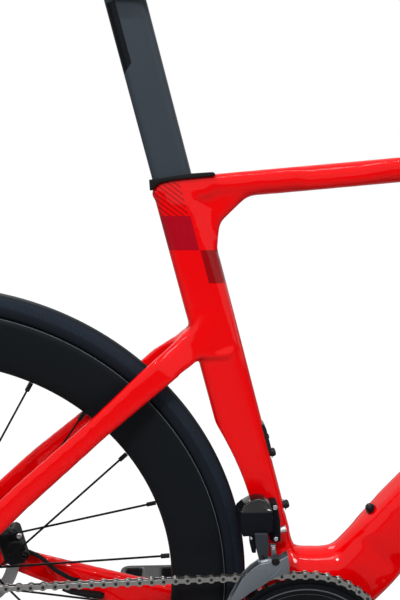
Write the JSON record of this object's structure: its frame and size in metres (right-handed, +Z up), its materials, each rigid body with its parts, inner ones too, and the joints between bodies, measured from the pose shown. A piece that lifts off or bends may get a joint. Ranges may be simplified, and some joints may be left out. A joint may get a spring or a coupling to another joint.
{
  "type": "aero road bicycle",
  "caption": "Aero road bicycle with a red carbon frame, deep rims, disc brakes, drop bar and chain drive; wheels, crank, pedals and fork turn.",
  "frame": {"origin": "middle of the saddle's top, where the rider sits", "axes": "+X forward, +Y to the rider's left, +Z up; the chain is on the -Y side"},
  "size_m": [1.6677, 0.454, 1.02],
  "materials": {
    "red_lacquer": "gloss red lacquer over carbon",
    "matte_carbon": "matte black carbon",
    "slate_post": "satin slate grey over carbon",
    "tyre_rubber": "bluish black tread rubber",
    "cover_rubber": "matte black rubber",
    "black_alloy": "black anodised",
    "silver_alloy": "silver grey anodised",
    "steel": "bright steel",
    "black_steel": "black steel",
    "chain_steel": "nickel plated",
    "gloss_black": "gloss black",
    "tape": "wound black tape",
    "saddle_cover": "matte black synthetic cover"
  },
  "bodies": {
    "frame": {"seat_tube": "red_lacquer", "head_tube": "red_lacquer", "top_tube": "red_lacquer", "down_tube": "red_lacquer", "bottom_bracket_shell": "red_lacquer", "dropouts": "black_alloy", "seatstays": "red_lacquer", "chainstays": "red_lacquer", "seatpost": "slate_post", "seatpost_clamp_cover": "cover_rubber", "saddle_rails": "steel", "saddle_clamp": "black_alloy", "saddle": "saddle_cover", "headset_bearings": "steel", "crank_bearings": "steel", "rear_axle": "steel", "bottle_bosses": "black_alloy", "derailleur_hanger": "black_alloy", "rear_derailleur": "black_alloy", "derailleur_cage": "black_alloy", "derailleur_pulleys": "gloss_black", "front_derailleur": "gloss_black", "front_derailleur_cage": "silver_alloy", "chain": "chain_steel", "rear_caliper": "black_alloy", "rear_brake_hose": "cover_rubber"},
    "steering": {"fork": "red_lacquer", "steerer": "steel", "headset_spacers": "black_alloy", "stem": "black_alloy", "handlebar": "matte_carbon", "bar_tape": "tape", "brake_hoods": "cover_rubber", "brake_levers": "black_alloy", "front_axle": "steel", "front_caliper": "black_alloy"},
    "front_wheel": {"front_rim": "matte_carbon", "front_tyre": "tyre_rubber", "front_hub": "black_alloy", "front_spokes": "black_steel", "front_rotor": "steel"},
    "rear_wheel": {"rear_rim": "matte_carbon", "rear_tyre": "tyre_rubber", "rear_hub": "black_alloy", "rear_spokes": "black_steel", "rear_rotor": "steel", "freehub": "black_alloy", "cassette": "steel"},
    "crank": {"right_crank": "black_alloy", "left_crank": "black_alloy", "crank_spindle": "steel", "outer_chainring": "gloss_black", "inner_chainring": "black_alloy", "chainring_bolts": "black_alloy", "pedal_axles": "steel"},
    "right_pedal": {"right_pedal": "black_alloy"},
    "left_pedal": {"left_pedal": "black_alloy"}
  },
  "joints": [
    {"name": "steering", "type": "hinge", "parent": "frame", "child": "steering", "pos_m": [0.6433, 0, -0.33023], "axis": [-0.2924, 0, 0.9563], "range_deg": [-60, 60]},
    {"name": "front_wheel_spin", "type": "hinge", "parent": "steering", "child": "front_wheel", "pos_m": [0.7979, 0, -0.682], "axis": [0, 1, 0], "continuous": true},
    {"name": "rear_wheel_spin", "type": "hinge", "parent": "frame", "child": "rear_wheel", "pos_m": [-0.1939, 0, -0.682], "axis": [0, 1, 0], "continuous": true},
    {"name": "crank_spin", "type": "hinge", "parent": "frame", "child": "crank", "pos_m": [0.205, 0, -0.752], "axis": [0, 1, 0], "continuous": true},
    {"name": "right_pedal_spin", "type": "hinge", "parent": "crank", "child": "right_pedal", "pos_m": [0.3775, 0, -0.752], "axis": [0, 1, 0], "continuous": true},
    {"name": "left_pedal_spin", "type": "hinge", "parent": "crank", "child": "left_pedal", "pos_m": [0.0325, 0, -0.752], "axis": [0, 1, 0], "continuous": true}
  ]
}
